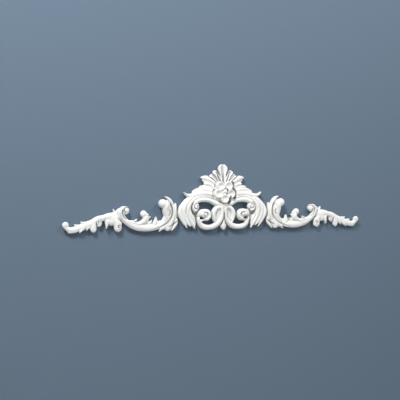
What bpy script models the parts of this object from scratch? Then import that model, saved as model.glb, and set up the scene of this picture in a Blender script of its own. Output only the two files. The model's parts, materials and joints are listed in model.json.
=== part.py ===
"""Door pediment: a cast scroll and acanthus ornament, flat at the back, made to be fixed over a door.

Everything is one casting, drawn as strokes. A stroke is a closed solid swept along a line of stations,
each being (x, z, half width, crest height) in millimetres. Strokes are laid out for the right half, set
on both sides of x = 0, joined, and trimmed flat at the wall plane y = 0. The front faces -Y and up is +Z.
The origin lies on the wall plane where the two bands cross.
"""
import math

import bpy
import bmesh

MM = 0.001
ROOT_BEHIND = 3.0          # strokes start this far behind the wall plane and are trimmed off flat
STATION_GAP = 27.0         # millimetres of spine between two sections
STATION_TURN = 47.0        # degrees of turn between two sections
CAP_ANGLES = (28.0, 62.0)  # where the sections of a rounded end stand
POINT_WIDTH = 0.9          # half width left at a pointed tip

# Sections: (place across from -1 to 1, share of the crest height), left wall foot to right wall foot
ROUND = ((-1.0, 0.70), (-0.58, 0.94), (0.0, 1.0), (0.58, 0.94), (1.0, 0.70))
RAISED = ((-0.88, 0.3), (-1.0, 0.68), (-0.58, 0.94), (0.0, 1.0), (0.58, 0.94), (1.0, 0.68), (0.88, 0.3))
HOLLOW = ((-1.0, 0.74), (-0.72, 1.0), (0.0, 0.74), (0.72, 1.0), (1.0, 0.74))
RIDGED = ((-1.0, 0.66), (0.0, 1.0), (1.0, 0.66))

FLOWER_CENTRE = (0.0, 50.0)
FLOWER_PETALS = 5
PETAL_CIRCLE = 24.0
PETAL_RADIUS = 15.0
PETAL_CREST = 36.0
WHITE = (0.86, 0.86, 0.84, 1.0)
TRIM_SIZE = (1400.0, 20.0, 600.0)   # block behind the wall plane that trims the back flat


def smooth_path(stations, per_span=16):
    """Dense points on a centripetal curve through the stations, with the distance run so far."""
    rows = [tuple(float(v) for v in row) for row in stations]
    first = tuple(2 * a - b for a, b in zip(rows[0], rows[1]))
    last = tuple(2 * a - b for a, b in zip(rows[-1], rows[-2]))
    rows = [first] + rows + [last]
    dense = []
    for index in range(1, len(rows) - 2):
        four = rows[index - 1:index + 3]
        knots = [0.0]
        for a, b in zip(four, four[1:]):
            knots.append(knots[-1] + max(math.dist(a[:2], b[:2]), 0.01) ** 0.5)
        for step in range(per_span + (index == len(rows) - 3)):
            at = knots[1] + (knots[2] - knots[1]) * step / per_span
            level = list(four)
            for reach in (1, 2, 3):
                level = [blend(level[i], level[i + 1], at, knots, i, reach) for i in range(len(level) - 1)]
            dense.append(level[0])
    run = [0.0]
    for a, b in zip(dense, dense[1:]):
        run.append(run[-1] + math.dist(a[:2], b[:2]))
    return dense, run


def blend(a, b, at, knots, i, reach):
    """One step of the pyramid that evaluates the curve."""
    low, high = (knots[i], knots[i + reach]) if reach < 3 else (knots[1], knots[2])
    share = (at - low) / (high - low)
    return tuple(u + (v - u) * share for u, v in zip(a, b))


def at_distance(dense, run, distance):
    """Place, width, crest and heading of the path at a distance from its root."""
    index = max(i for i, d in enumerate(run) if d <= distance + 1e-9)
    index = min(index, len(run) - 2)
    share = (distance - run[index]) / (run[index + 1] - run[index])
    row = [a + (b - a) * share for a, b in zip(dense[index], dense[index + 1])]
    before = dense[max(index - 1, 0)]
    after = dense[min(index + 2, len(dense) - 1)]
    length = math.dist(before[:2], after[:2])
    heading = ((after[0] - before[0]) / length, (after[1] - before[1]) / length)
    return row, heading


def section_distances(dense, run, round_root, round_tip):
    """Distances at which sections are set: closer where the spine turns, and round the ends."""
    total = run[-1]
    root_half = at_distance(dense, run, 0.0)[0][2]
    tip_half = at_distance(dense, run, total)[0][2]
    start = root_half if round_root else 0.0
    end = total - (tip_half if round_tip else 0.0)
    turned = 0.0
    headings = [at_distance(dense, run, start + (end - start) * k / 24)[1] for k in range(25)]
    for a, b in zip(headings, headings[1:]):
        turned += abs(math.degrees(math.atan2(a[0] * b[1] - a[1] * b[0], a[0] * b[0] + a[1] * b[1])))
    count = max(2, round((end - start) / STATION_GAP), round(turned / STATION_TURN))
    middle = [start + (end - start) * k / count for k in range(count + 1)]
    shares = [1 - math.cos(math.radians(angle)) for angle in CAP_ANGLES]
    head = [root_half * share for share in shares] if round_root else []
    tail = [total - tip_half * share for share in reversed(shares)] if round_tip else []
    return head + middle + tail


def stroke(name, stations, section=ROUND, root="round", tip="point"):
    """The swept solid on the right, and its mirror image unless it lies on the axis."""
    swept(name + "_right", stations, section, root, tip)
    if any(abs(row[0]) > 0.01 for row in stations):
        swept(name + "_left", tuple((-row[0],) + tuple(row[1:]) for row in stations), section, root, tip)


def swept(name, stations, section, root, tip):
    """One closed solid swept along the stations."""
    dense, run = smooth_path(stations)
    total = run[-1]
    root_half = stations[0][2]
    tip_half = stations[-1][2]
    body = bmesh.new()
    rings = []
    for distance in section_distances(dense, run, root == "round", tip == "round"):
        (x, z, half, crest), (east, north) = at_distance(dense, run, distance)
        fade = 1.0
        if root == "round" and distance < root_half:
            fade = math.sqrt(1 - (1 - distance / root_half) ** 2)
        if tip == "round" and total - distance < tip_half:
            fade = math.sqrt(1 - (1 - (total - distance) / tip_half) ** 2)
        half = max(half * fade, POINT_WIDTH * 0.6)
        crest = crest * (0.55 + 0.45 * fade)
        outline = [(section[0][0], None)] + list(section) + [(section[-1][0], None)]
        ring = []
        for across, share in outline:
            depth = ROOT_BEHIND if share is None else -crest * share
            ring.append(body.verts.new(((x - north * half * across) * MM, depth * MM,
                                        (z + east * half * across) * MM)))
        rings.append(ring)
    for a, b in zip(rings, rings[1:]):
        for i in range(len(a)):
            j = (i + 1) % len(a)
            body.faces.new((a[i], a[j], b[j], b[i]))
    body.faces.new(rings[0][::-1])
    body.faces.new(rings[-1])
    return guide(name, body)


def guide(name, body):
    """Keep a swept solid among the guides."""
    bmesh.ops.recalc_face_normals(body, faces=body.faces)
    mesh = bpy.data.meshes.new(name)
    body.to_mesh(mesh)
    body.free()
    item = bpy.data.objects.new(name, mesh)
    guides.objects.link(item)
    item.hide_render = True
    item.display_type = "WIRE"
    return item


# Profiles of the bosses: (share of the radius, share of the crest height), from the top down to the foot
BALL = ((0.0, 1.0), (0.72, 0.9), (1.0, 0.62))
BOWL = ((0.0, 0.76), (0.8, 1.0), (1.0, 0.84))


def button(name, centre, radius, crest, profile=BALL, sides=12):
    """The round boss on the right, and its mirror image unless it lies on the axis."""
    turned(name + "_right", centre, radius, crest, profile, sides)
    if abs(centre[0]) > 0.01:
        turned(name + "_left", (-centre[0], centre[1]), radius, crest, profile, sides)


def turned(name, centre, radius, crest, profile, sides):
    """A round boss: a profile turned about an axis square to the wall."""
    points = [(radius * reach * MM, 0.0, crest * share * MM) for reach, share in profile]
    points += [(radius * MM, 0.0, -ROOT_BEHIND * MM), (0.0, 0.0, -ROOT_BEHIND * MM)]
    mesh = bpy.data.meshes.new(name)
    mesh.from_pydata(points, [(i, i + 1) for i in range(len(points) - 1)], [])
    item = bpy.data.objects.new(name, mesh)
    item.location = (centre[0] * MM, 0.0, centre[1] * MM)
    item.rotation_euler = (math.radians(90), 0.0, 0.0)
    turn = item.modifiers.new("turn", "SCREW")
    turn.axis = "Z"
    turn.steps = sides
    turn.render_steps = sides
    turn.use_merge_vertices = True
    turn.merge_threshold = 0.00005
    turn.use_smooth_shade = False
    guides.objects.link(item)
    item.hide_render = True
    item.display_type = "WIRE"
    return item


def flower():
    """Five spoon petals about a boss, one pointing down."""
    cx, cz = FLOWER_CENTRE
    button("flower_ground", (0.0, 46.0), 33.0, 20.0)
    button("flower_boss", FLOWER_CENTRE, 8.5, 36.0, sides=10)
    for index in range(FLOWER_PETALS):
        angle = math.radians(-90 + 360 / FLOWER_PETALS * index)
        if math.cos(angle) < -0.1:
            continue  # the petals on the left are the mirror images of those on the right
        place = (cx + PETAL_CIRCLE * math.cos(angle), cz + PETAL_CIRCLE * math.sin(angle))
        button(f"flower_petal_{index}", place, PETAL_RADIUS, PETAL_CREST, BOWL)


def crest():
    """Palmette over the flower: a spoon petal on the axis, then narrow petals, then a leaf."""
    stroke("petal_0", ((0, 66, 6, 24), (0, 100, 9.5, 20), (0, 124, 17.5, 20),
                       (0, 145, 18.5, 19)), HOLLOW, tip="round")
    stroke("petal_1", ((6, 74, 5, 22), (17, 96, 7.5, 21), (27, 112, 8.5, 20),
                       (34, 121.5, 7.5, 18)), RIDGED, tip="round")
    stroke("petal_2", ((12, 72, 5, 22), (28, 90, 7.5, 21), (39, 101.5, 7.5, 20),
                       (46, 107, 6.5, 18)), RIDGED, tip="round")
    stroke("crest_leaf", ((22, 68, 8, 23), (42, 86, 10.5, 24), (58, 94.5, 11, 22), (72, 98, 8, 16),
                          (83, 98.5, 1.5, 12)))
    stroke("crest_leaf_side", ((34, 70, 8, 21), (54, 82, 10, 20), (67, 88, 8.5, 15),
                               (77, 91, 4, 11)), RIDGED, tip="round")
    stroke("crest_leaf_low", ((26, 60, 9, 21), (46, 72, 10, 22), (60, 76.5, 7.5, 22),
                              (71, 75.5, 5, 22)), RIDGED, tip="round")


def shoulder():
    """Leaf that leans out from the flower and ends in a horn."""
    stroke("shoulder", ((26, 38, 9, 22), (60, 44, 12, 24), (90, 42, 12, 23), (114, 36, 9.5, 22),
                        (128, 37, 7, 21), (136, 41, 4.5, 21), (143.5, 49.5, 0.8, 21)))
    stroke("shoulder_lobe_1", ((34, 50, 9, 21), (62, 56, 10, 23), (82, 57, 9, 20), (98, 54.5, 7.5, 14),
                               (114, 48, 4, 10)), tip="round")
    stroke("shoulder_lobe_2", ((32, 58, 9, 20), (54, 65, 8, 20), (74, 67, 5.5, 20),
                               (88, 66, 4, 18)), RIDGED, tip="round")


def bands():
    """Upper band with its small volute, the ring that ends in the inner volute, and the leaf in the ring."""
    stroke("arch", ((4, 7, 8, 24), (28, 10, 9, 24), (50, 20, 8, 23), (74, 23.5, 8.5, 24),
                    (95, 19, 8.5, 26), (109, 8, 7, 28), (112.5, -4, 5.5, 29), (106, -11.5, 4.5, 29),
                    (98, -10, 4, 29)), tip="round")
    button("arch_eye", (102.5, -0.5), 12.5, 29.5)
    button("knot", (0, 6), 9.0, 24.0, sides=10)
    stroke("arch_ground", ((8, 22, 12, 19), (40, 32, 9, 19)), RIDGED, tip="round")
    stroke("arch_roll", ((34, 29, 6, 20), (70, 35, 7, 22), (98, 30, 7.5, 23), (117, 16, 7, 23),
                         (123, -4, 6, 22), (117, -22, 5, 18), (107, -38, 0.9, 14)))
    stroke("c_ground", ((118, 12, 8, 13), (113, -10, 11, 13), (104, -30, 6, 12)), RIDGED, tip="round")
    stroke("ring", ((9, 9, 9, 24), (6, -12, 7, 26), (9, -42, 8.5, 24), (30, -64.5, 10.5, 20),
                    (60, -71, 10, 18), (81, -64, 10, 20), (90, -49, 8.5, 22),
                    (92.5, -34, 8.5, 24)), tip="round")
    stroke("volute", ((92, -36, 8.5, 22), (89, -22, 8.5, 26), (76, -16.5, 8, 30), (60, -18.5, 8, 31),
                      (54.5, -31, 7.5, 31), (62, -41.5, 7.5, 30), (74, -43, 5.5, 28)), RAISED, tip="round")
    button("volute_eye", (71, -28), 11.0, 32.5)
    stroke("ring_leaf", ((12, 0, 7, 24), (27, -6.5, 8.5, 25), (37, -23, 8.5, 25), (35, -44, 6, 22),
                         (29, -60, 0.9, 18)))
    stroke("ring_floor", ((14, -2, 9, 14), (20, -28, 14, 14), (32, -52, 9, 13)), RIDGED, tip="round")
    stroke("drop", ((0, -28, 2, 20), (0, -46, 4, 21), (0, -58, 8.5, 21), (0, -68, 12, 20),
                    (0, -76, 8.5, 18), (0, -81, 2, 16)))


def outer_c():
    """Parallel flutes that sweep down outside the upper band."""
    stroke("flute_1", ((112, 33, 5, 18), (127, 25, 8, 21), (145, 8, 8.5, 22), (155.5, -8, 9, 22),
                       (158, -24, 8.5, 22), (151, -41, 7, 20), (142, -56, 6, 18), (131.5, -72, 0.9, 17)))
    stroke("flute_2", ((110, 33, 5, 22), (130, 17, 8, 25), (143, -5, 8, 25), (144, -27, 8.5, 23),
                       (134, -50, 8.5, 20), (119, -67, 2.4, 17)))
    stroke("flute_3", ((112, 24, 5, 22), (127, 4, 7, 26), (131, -18, 8, 25), (124, -41, 8.5, 22),
                       (112, -60, 7, 19), (103.5, -76, 0.9, 17)))
    stroke("flute_4", ((127, -6, 4, 20), (121, -25, 6, 22), (111, -42, 6.5, 20), (104.5, -58, 4, 17),
                       (103, -66, 0.9, 15)), RIDGED)
    stroke("wing_web", ((146, -24, 12, 11), (166, -24, 15, 11), (188, -24, 12, 11)), RIDGED, tip="round")


def wing():
    """Acanthus leaf with a curled head, the curl, the sprouts and the C-scroll that ends in a volute."""
    stroke("side_leaf", ((174, -52, 5, 15), (174, -18, 5.5, 20), (173.5, 4, 5, 19),
                         (172.5, 13.5, 2, 17)), tip="round")
    stroke("rim_leaf", ((198, -62, 7, 16), (184, -42, 7.5, 20), (180, -16, 7, 22), (185.5, 8, 7, 23),
                        (194.5, 22.5, 7, 24), (204, 30.5, 4.5, 24), (211, 34, 1.2, 23)))
    stroke("head", ((236, -68, 7, 17), (213, -51, 13, 21), (200.5, -29, 14.5, 25), (202, -8, 16, 28),
                    (206, 9, 15.5, 31)), tip="round")
    button("head_bulb", (220.5, 12), 14.5, 33.0)
    stroke("sprout_ground", ((219, -52, 9.3, 14.3), (237, -53.4, 8.7, 13.6)), tip="round")
    stroke("low_lobe_1", ((172, -36, 7, 16), (171, -53, 7.5, 17), (178, -67, 5.5, 17),
                          (188.5, -80, 0.9, 16)), RIDGED)
    stroke("low_lobe_2", ((184, -42, 9, 18), (193, -58, 11.5, 18),
                          (204.5, -80, 12, 16)), RIDGED, tip="round")
    stroke("low_lobe_3", ((200, -48, 9, 18), (210, -63, 12, 18), (222, -71.5, 6.5, 17),
                          (231.5, -82, 0.9, 15)), RIDGED)
    stroke("c_scroll", ((212, -56, 9, 18), (244, -65.5, 12, 18), (283, -67, 14, 18), (314, -60, 14, 19),
                        (339, -48.5, 10.5, 21), (355, -30, 9.5, 24), (361, -14, 7.5, 26),
                        (354.5, -2.5, 6.5, 26), (342, -2.5, 6, 24)), tip="round")
    stroke("c_edge", ((292, -55, 7, 19), (318, -49.5, 7, 20), (337, -44.5, 5.5, 21),
                      (347, -33, 4, 22)), RIDGED, tip="round")
    button("c_volute", (343.5, -9.5), 13.5, 25.0)
    stroke("c_thorn", ((326, -48, 6, 20), (315, -45.5, 4.5, 21), (306.5, -38, 0.9, 22)), RIDGED)
    stroke("curl_stalk", ((314, -57, 6, 19), (294, -52, 8, 20), (279, -43, 11, 22),
                          (277, -26, 11, 24)), tip="round")
    stroke("curl_back", ((276, -52, 7, 18), (271, -38, 6, 20), (274, -19, 7, 22)), RIDGED, tip="round")
    button("curl", (284, -22), 11.5, 23.0)
    stroke("curl_leaf", ((288, -54, 8, 18), (272, -43, 7, 18), (266, -35, 4, 17),
                         (259, -30.5, 0.9, 16)), RIDGED)
    stroke("sprout", ((247, -66, 12, 17), (243, -49, 9.5, 19), (242, -40, 5.5, 19), (242, -32, 1.4, 19)))
    stroke("sprout_low", ((272, -60, 12, 16), (262, -51, 7, 16), (255.5, -42, 1.2, 16)), RIDGED)


def end_leaf():
    """Long leaf along the casing: a rib with hanging lobes, thorns on top and a curled tip."""
    stroke("rib", ((358, -38, 8, 15), (378, -28, 12.5, 19), (400, -29, 12.5, 20), (417, -32.5, 10.5, 19),
                   (432, -37, 12.5, 18), (454, -49, 13, 17), (478, -57, 12.5, 16), (503, -66, 11, 16),
                   (524, -68, 9.5, 16), (535, -61, 9.5, 17), (538.5, -54, 9.5, 17)), tip="round")
    button("end_curl", (537.5, -53.5), 11.0, 19.0)
    stroke("rib_lobe_1", ((394, -32, 9, 18), (378, -44, 12, 18), (370, -60, 14, 18),
                          (370, -80.5, 13.5, 18)), tip="round")
    stroke("rib_lobe_2", ((392, -36, 11, 17), (391, -48, 10.5, 16), (391, -60, 9, 14)), RIDGED, tip="round")
    stroke("rib_lobe_3", ((406, -36, 9, 17), (405, -52, 7, 17), (407.5, -68, 0.9, 17)), RIDGED)
    stroke("rib_lobe_4", ((436, -36, 9, 16), (429.5, -46, 10, 16), (432, -62.5, 7.5, 15)), tip="round")
    stroke("rib_lobe_5", ((447, -42, 11, 17), (448.5, -60, 12, 17), (449, -80.5, 11.5, 16)), tip="round")
    stroke("rib_lobe_6", ((458, -48, 9, 16), (464, -60, 7, 16), (471.5, -72.5, 0.9, 15)), RIDGED)
    stroke("rib_lobe_7", ((474, -54, 11, 16), (483, -66, 8, 16), (494, -79.5, 0.9, 16)), RIDGED)
    stroke("rib_lobe_8", ((490, -62, 10, 15), (508, -70, 10.5, 15), (533, -75, 7, 14)), tip="round")
    stroke("thorn_1", ((376, -26, 7, 17), (383, -12, 4, 17), (386, -3.5, 0.9, 16)), RIDGED)
    stroke("thorn_2", ((466, -50, 8, 15), (482, -48.5, 7, 15), (491, -43, 0.9, 15)))
    stroke("thorn_3", ((488, -60, 8, 15), (502, -56, 6, 15), (511.5, -51.5, 0.9, 15)))
    stroke("end_back", ((376, -36, 10, 12), (374, -22, 8, 12), (366, -8, 7, 12),
                        (354, -2, 5, 14)), RIDGED, tip="round")


for old in list(bpy.data.objects):
    bpy.data.objects.remove(old, do_unlink=True)

ornament = bpy.data.collections.new("door_pediment")
guides = bpy.data.collections.new("strokes")
bpy.context.scene.collection.children.link(ornament)
bpy.context.scene.collection.children.link(guides)
guides.hide_render = True

flower()
crest()
shoulder()
bands()
outer_c()
wing()
end_leaf()

# The first stroke becomes the piece that all the others are joined to
first = guides.objects["petal_0_right"]
pediment = bpy.data.objects.new("pediment", first.data)
bpy.data.objects.remove(first)
ornament.objects.link(pediment)

join = pediment.modifiers.new("join strokes", "BOOLEAN")
join.operation = "UNION"
join.solver = "EXACT"
join.operand_type = "COLLECTION"
join.collection = guides

trimmer_mesh = bpy.data.meshes.new("trimmer")
trimmer = bpy.data.objects.new("trimmer", trimmer_mesh)
block = bmesh.new()
bmesh.ops.create_cube(block, size=1.0)
for vert in block.verts:
    vert.co.x *= TRIM_SIZE[0] * MM
    vert.co.y = (vert.co.y + 0.5) * TRIM_SIZE[1] * MM
    vert.co.z *= TRIM_SIZE[2] * MM
block.to_mesh(trimmer_mesh)
block.free()
cutters = bpy.data.collections.new("cutters")
bpy.context.scene.collection.children.link(cutters)
cutters.objects.link(trimmer)
cutters.hide_render = True
trimmer.hide_render = True
trimmer.display_type = "WIRE"

flat = pediment.modifiers.new("flat back", "BOOLEAN")
flat.operation = "DIFFERENCE"
flat.solver = "EXACT"
flat.object = trimmer

plaster = bpy.data.materials.new("pediment")
plaster.use_nodes = True
shader = plaster.node_tree.nodes["Principled BSDF"]
shader.inputs["Base Color"].default_value = WHITE
shader.inputs["Roughness"].default_value = 0.6
shader.inputs["Metallic"].default_value = 0.0
pediment.data.materials.append(plaster)
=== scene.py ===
"""Looks of the door pediment, a moulded overdoor ornament of flower, palmette, scrolls and acanthus.

The ornament is one casting. It is carved here in strokes: each stroke is a section swept along stations
of (x, z, half width, crest height) in millimetres, for the right half and mirrored for the left. The
strokes are joined into one skin, trimmed flat at the wall plane y = 0, and the foot of the skin is drawn
in a little all round, as a cast leaf is thinner where it meets the wall.
"""
import json
import math

import bmesh
import bpy
from mathutils import Matrix, Vector
from mathutils.bvhtree import BVHTree

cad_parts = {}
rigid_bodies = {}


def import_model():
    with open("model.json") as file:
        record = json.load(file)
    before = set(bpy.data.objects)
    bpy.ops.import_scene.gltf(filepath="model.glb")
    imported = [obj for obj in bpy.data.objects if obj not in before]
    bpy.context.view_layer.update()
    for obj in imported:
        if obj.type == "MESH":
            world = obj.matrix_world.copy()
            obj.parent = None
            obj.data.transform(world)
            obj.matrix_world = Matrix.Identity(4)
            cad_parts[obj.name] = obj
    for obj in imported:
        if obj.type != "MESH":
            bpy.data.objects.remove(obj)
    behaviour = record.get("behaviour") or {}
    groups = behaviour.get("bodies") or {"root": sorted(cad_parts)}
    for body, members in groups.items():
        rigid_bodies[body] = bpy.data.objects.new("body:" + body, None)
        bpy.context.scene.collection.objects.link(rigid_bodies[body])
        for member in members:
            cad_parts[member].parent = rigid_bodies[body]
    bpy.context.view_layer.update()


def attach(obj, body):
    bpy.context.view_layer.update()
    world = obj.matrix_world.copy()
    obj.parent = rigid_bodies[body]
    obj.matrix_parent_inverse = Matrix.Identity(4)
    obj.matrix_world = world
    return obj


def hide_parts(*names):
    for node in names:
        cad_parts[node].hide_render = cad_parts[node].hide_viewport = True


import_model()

MM = 0.001                  # sizes below are in millimetres unless they say otherwise
ON_AXIS = 0.01              # a piece whose x is within this of the axis has no mirror image


def scene_object(name, data):
    """A new object in the scene."""
    item = bpy.data.objects.new(name, data)
    bpy.context.scene.collection.objects.link(item)
    return item


def evaluated_mesh(item):
    """The object's finished mesh as a plain one."""
    graph = bpy.context.evaluated_depsgraph_get()
    return bpy.data.meshes.new_from_object(item.evaluated_get(graph), depsgraph=graph)


def add_node(tree, kind, inputs=None, **settings):
    """Add a node, set its properties, and give its inputs values or links."""
    node = tree.nodes.new(kind)
    for name, value in settings.items():
        setattr(node, name, value)
    for name, value in (inputs or {}).items():
        socket = node.inputs[name]
        if isinstance(value, bpy.types.NodeSocket):
            tree.links.new(value, socket)
        else:
            socket.default_value = value
    return node


def open_tree(name, inputs):
    """A new Geometry Nodes tree with inputs of those names and kinds, and the sockets that give them."""
    tree = bpy.data.node_groups.new(name, "GeometryNodeTree")
    for title, kind in inputs.items():
        tree.interface.new_socket(title, in_out="INPUT", socket_type="NodeSocket" + kind)
    tree.interface.new_socket("Geometry", in_out="OUTPUT", socket_type="NodeSocketGeometry")
    return tree, add_node(tree, "NodeGroupInput").outputs


def close_tree(tree, geometry, material):
    """End the tree in real geometry that wears the material."""
    real = add_node(tree, "GeometryNodeRealizeInstances", {"Geometry": geometry})
    cast = add_node(tree, "GeometryNodeSetMaterial", {"Geometry": real.outputs[0], "Material": material})
    add_node(tree, "NodeGroupOutput", {"Geometry": cast.outputs[0]})
    return tree


def set_input(modifier, name, value):
    """Set a modifier's input by its socket's identifier."""
    for item in modifier.node_group.interface.items_tree:
        if item.in_out == "INPUT" and item.name == name:
            modifier[item.identifier] = value


def linear(code):
    """An sRGB hex value as linear colour."""
    parts = [int(code[i:i + 2], 16) / 255 for i in (1, 3, 5)]
    return [p / 12.92 if p <= 0.04045 else ((p + 0.055) / 1.055) ** 2.4 for p in parts] + [1.0]


# Material of the casting

PRIMER = "#F4F4F2"          # a clean, slightly warm white
THIN_PRIMER = "#EFEFEC"     # a shade duller, in slow patches where the coat is thinner
GROOVE_SHADE = "#A3A4A3"            # painted shade: the grey that the bottoms of the grooves go towards
PRIMER_IOR = 1.46
SATIN = (0.5, 0.6)          # roughness of the primer, from the dips of its peel to the tops
PEEL_SIZE = 2.4             # orange peel of the sprayed primer
PEEL_DEPTH = 0.4            # deeper than a real one, so that it shows at all at this distance
PEEL_STRENGTH = 0.25
SWELL_SIZE = 25.0           # slow swell of the moulded surface
SWELL_SHARE = 0.35          # height of the swell, as a share of the peel's
NOISE_SPAN = (0.3, 0.7)     # nearly all of a noise lies between these
HOLLOW_REACH = 10.0         # how near the walls of a hollow are for it to get painted shade
HOLLOW_SPAN = (0.25, 0.85)  # share of open sky over a fully shaded surface, and over an unshaded one


def primed_white():
    """Moulded polyurethane under a factory coat of white primer: satin, faintly orange-peeled, with
    painted shade greying the hollows."""
    material = bpy.data.materials.new("primed moulded polyurethane")
    material.use_nodes = True
    tree = material.node_tree
    tree.nodes.clear()
    where = add_node(tree, "ShaderNodeTexCoord").outputs["Object"]
    peel = add_node(tree, "ShaderNodeTexNoise", {
        "Vector": where, "Scale": 1 / (PEEL_SIZE * MM), "Detail": 2.0, "Roughness": 0.5,
    }).outputs["Fac"]
    swell = add_node(tree, "ShaderNodeTexNoise", {
        "Vector": where, "Scale": 1 / (SWELL_SIZE * MM), "Detail": 2.0, "Roughness": 0.5,
    }).outputs["Fac"]
    grain = add_node(tree, "ShaderNodeMath", {0: swell, 1: SWELL_SHARE, 2: peel},
                     operation="MULTIPLY_ADD").outputs[0]
    bump = add_node(tree, "ShaderNodeBump", {
        "Strength": PEEL_STRENGTH, "Distance": PEEL_DEPTH * MM, "Height": grain,
    })
    tone = add_node(tree, "ShaderNodeMapRange", {
        "Value": swell, "From Min": NOISE_SPAN[0], "From Max": NOISE_SPAN[1],
    })
    paint = add_node(tree, "ShaderNodeMix", {
        "Factor": tone.outputs[0], 6: linear(THIN_PRIMER), 7: linear(PRIMER),
    }, data_type="RGBA")
    # Painted shade: open surfaces stay white, and the bottoms of the grooves are painted grey by how
    # closed in they are
    open_sky = add_node(tree, "ShaderNodeAmbientOcclusion", {"Distance": HOLLOW_REACH * MM}, samples=8)
    unshaded_share = add_node(tree, "ShaderNodeMapRange", {
        "Value": open_sky.outputs["AO"], "From Min": HOLLOW_SPAN[0], "From Max": HOLLOW_SPAN[1],
    })
    # Painted shade: the grey of the hollows mixed into the primer's colour
    shaded_paint = add_node(tree, "ShaderNodeMix", {
        "Factor": unshaded_share.outputs[0], 6: linear(GROOVE_SHADE), 7: paint.outputs[2],
    }, data_type="RGBA")
    satin = add_node(tree, "ShaderNodeMapRange", {
        "Value": peel, "From Min": NOISE_SPAN[0], "From Max": NOISE_SPAN[1],
        "To Min": SATIN[0], "To Max": SATIN[1],
    })
    shader = add_node(tree, "ShaderNodeBsdfPrincipled", {
        "Base Color": shaded_paint.outputs[2], "Roughness": satin.outputs[0], "Metallic": 0.0,
        "IOR": PRIMER_IOR, "Normal": bump.outputs[0],
    })
    add_node(tree, "ShaderNodeOutputMaterial", {"Surface": shader.outputs[0]})
    return material


cast_white = primed_white()

# Paths

SPAN_POINTS = 10            # points of the spine between two stations
LEAST_SPAN = 0.01           # two stations on one spot count as this far apart


def blend(a, b, at, knots, i, reach):
    """One step of the pyramid that evaluates the curve."""
    low, high = (knots[i], knots[i + reach]) if reach < 3 else (knots[1], knots[2])
    share = (at - low) / (high - low)
    return tuple(u + (v - u) * share for u, v in zip(a, b))


def smooth_path(stations):
    """Dense points on a centripetal curve through the stations."""
    rows = [tuple(float(v) for v in row) for row in stations]
    first = tuple(2 * a - b for a, b in zip(rows[0], rows[1]))
    last = tuple(2 * a - b for a, b in zip(rows[-1], rows[-2]))
    rows = [first] + rows + [last]
    dense = []
    for index in range(1, len(rows) - 2):
        four = rows[index - 1:index + 3]
        knots = [0.0]
        for a, b in zip(four, four[1:]):
            knots.append(knots[-1] + max(math.dist(a[:2], b[:2]), LEAST_SPAN) ** 0.5)
        for step in range(SPAN_POINTS + (index == len(rows) - 3)):
            at = knots[1] + (knots[2] - knots[1]) * step / SPAN_POINTS
            level = list(four)
            for reach in (1, 2, 3):
                pairs = enumerate(zip(level, level[1:]))
                level = [blend(a, b, at, knots, i, reach) for i, (a, b) in pairs]
            dense.append(level[0])
    return dense


# Sections: points (place across from -1 to 1, share of the crest height), wall to wall

SECTION_POINTS = 15
# Places across a section, closer together near its walls, where a rounded one turns fastest
PLACES = [-math.cos(math.pi * k / (SECTION_POINTS - 1)) for k in range(SECTION_POINTS)]


def crown(wall, roundness=2.0):
    """A rounded strand that stands on walls of that share of its height."""
    rises = [max(0.0, 1 - abs(across) ** roundness) ** (1 / roundness) for across in PLACES]
    return [(across, wall + (1 - wall) * rise) for across, rise in zip(PLACES, rises)]


def tucked(points, across, share):
    """The section with its two ends drawn in under its sides."""
    return [(-across, share)] + points[1:-1] + [(across, share)]


def gouge(wall, rim, depth):
    """A hollow strand: rounded rims at that place across, and a gouge between them."""
    points = []
    for across in PLACES:
        if abs(across) > rim:
            out = (abs(across) - rim) / (1 - rim)
            share = wall + (1 - wall) * math.sqrt(max(0.0, 1 - out * out))
        else:
            share = 1 - depth * 0.5 * (1 + math.cos(math.pi * across / rim))
        points.append((across, share))
    return points


SECTIONS = {
    "strand": crown(wall=0.42),
    "ridge": crown(wall=0.42, roundness=1.45),
    "ball": tucked(crown(wall=0.5), across=0.86, share=0.3),
    "spoon": gouge(wall=0.62, rim=0.72, depth=0.42),
    "petal": gouge(wall=0.55, rim=0.66, depth=0.26),
}


def section_curve(name, points):
    """The section as a loose curve, closed along the wall, whose points the sweep reads in turn."""
    loop = list(points) + [(points[-1][0], 0.0), (points[0][0], 0.0)]
    curve = bpy.data.curves.new("section " + name, "CURVE")
    curve.dimensions = "3D"
    spline = curve.splines.new("POLY")
    spline.points.add(len(loop) - 1)
    for point, (across, share) in zip(spline.points, loop):
        point.co = (across, share, 0.0, 1.0)
    return scene_object("section " + name, curve)


section_objects = {name: section_curve(name, points) for name, points in SECTIONS.items()}

# Strokes

STATION_GAP = 3.2           # spine between two sections, before the ends are bunched
LEAST_STATIONS = 12
MOST_STATIONS = 56
POINT_WIDTH = 0.5           # half width left at a pointed tip
END_HEIGHT = 0.6            # share of the crest height kept at the very end of a rounded stroke


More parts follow.
